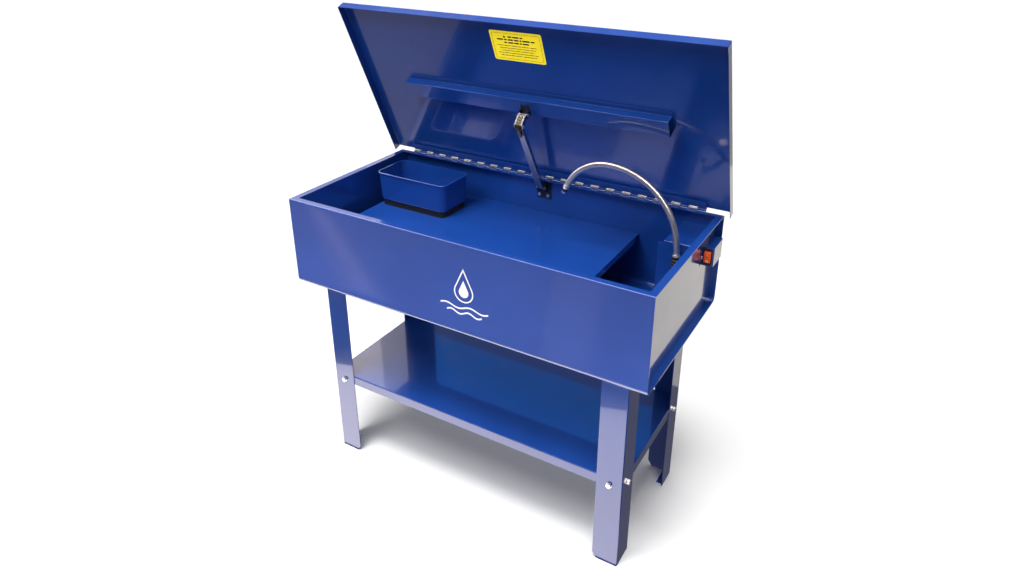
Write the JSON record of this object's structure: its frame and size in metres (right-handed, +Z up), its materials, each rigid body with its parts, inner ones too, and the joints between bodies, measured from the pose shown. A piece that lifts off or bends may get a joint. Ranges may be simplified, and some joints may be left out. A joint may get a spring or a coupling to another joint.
{
  "type": "parts washer tank",
  "caption": "Sheet-steel parts washer on angle legs: hinged lid with folding stay, work shelf, basket, pump and gooseneck spout over a lower shelf.",
  "frame": {"origin": "on the floor, under the middle of the tank", "axes": "+X to the right seen from the front, +Y to the back where the lid is hinged, +Z up"},
  "size_m": [1.16, 0.5378, 1.4101],
  "materials": {
    "blue_paint": "gloss powder coat",
    "black_paint": "satin",
    "zinc_plate": "bright zinc plate",
    "spout_metal": "ribbed, bright",
    "brass": "satin",
    "black_rubber": "matt",
    "black_plastic": "matt",
    "clear_tube": "milky",
    "red_plastic": "gloss",
    "yellow_label": "gloss film"
  },
  "bodies": {
    "tank": {"hinge_rivets_tank": "blue_paint", "tank_wrap": "blue_paint", "end_panel_left": "blue_paint", "end_panel_right": "blue_paint", "shelf_ledge_front": "blue_paint", "shelf_ledge_rear": "blue_paint", "work_shelf": "blue_paint", "hinge_leaf_tank": "blue_paint", "pump_cover": "blue_paint", "switch_box": "blue_paint", "leg_front_left": "blue_paint", "leg_rear_left": "blue_paint", "leg_front_right": "blue_paint", "leg_rear_right": "blue_paint", "lower_shelf": "blue_paint", "drain_bung": "blue_paint", "stay_wall_bracket": "black_paint", "hinge_pin": "zinc_plate", "stay_pin_wall": "zinc_plate", "stay_bracket_bolts": "zinc_plate", "stay_bracket_nuts": "zinc_plate", "shelf_bolts": "zinc_plate", "shelf_washers": "zinc_plate", "shelf_nuts": "zinc_plate", "leg_studs": "zinc_plate", "leg_nuts": "zinc_plate", "switch_box_screws": "zinc_plate", "bulkhead_nuts": "zinc_plate", "drain_plug": "zinc_plate", "cable_grommet": "black_rubber", "pump_cable": "black_rubber", "drain_washer": "black_rubber", "pump_body": "black_plastic", "pump_strainer": "black_plastic", "spout_fitting": "black_plastic", "spout_elbow": "black_plastic", "switch_body": "black_plastic", "power_gland": "black_plastic", "pump_outlet_tube": "clear_tube"},
    "lid": {"lid": "blue_paint", "lid_stiffener": "blue_paint", "lid_label": "yellow_label", "hinge_leaf_lid": "blue_paint", "hinge_rivets_lid": "blue_paint", "stay_lid_bracket": "black_paint", "stay_pin_lid": "zinc_plate"},
    "stay_arm": {"stay_arm": "zinc_plate"},
    "stay_link": {"stay_link": "zinc_plate", "fusible_link": "brass", "stay_pin_elbow": "zinc_plate"},
    "spout": {"spout_neck": "spout_metal", "spout_ferrule": "zinc_plate", "spout_nozzle": "spout_metal"},
    "basket": {"basket": "blue_paint", "basket_base_ring": "black_rubber"},
    "switch_rocker": {"switch_rocker": "red_plastic"}
  },
  "joints": [
    {"name": "lid_hinge", "type": "hinge", "parent": "tank", "child": "lid", "pos_m": [0, 0.264, 0.9], "axis": [1, 0, 0], "range_deg": [0, 66.3]},
    {"name": "stay_arm_pivot", "type": "hinge", "parent": "tank", "child": "stay_arm", "pos_m": [-0.004, 0.24, 0.872], "axis": [1, 0, 0], "range_deg": [0, 66.3]},
    {"name": "stay_link_pivot", "type": "hinge", "parent": "lid", "child": "stay_link", "pos_m": [-0.004, 0.12789, 1.13294], "axis": [1, 0, 0], "range_deg": [-66.3, 0]},
    {"name": "spout_bend", "type": "hinge", "parent": "tank", "child": "spout", "pos_m": [0.49, 0.084, 0.844], "axis": [1, 0, 0], "range_deg": [0, 89.5]},
    {"name": "basket_slide", "type": "slide", "parent": "tank", "child": "basket", "axis": [1, 0, 0], "range_m": [0, 0.21]},
    {"name": "power_switch_rock", "type": "hinge", "parent": "tank", "child": "switch_rocker", "pos_m": [0.556, 0.152, 0.8165], "axis": [1, 0, 0], "range_deg": [-16, 0]}
  ],
  "couplings": [
    {"joint": "stay_arm_pivot", "follows": "lid_hinge", "ratio": 1},
    {"joint": "stay_link_pivot", "follows": "lid_hinge", "ratio": -1},
    {"joint": "spout_bend", "follows": "lid_hinge", "ratio": 1.35}
  ]
}
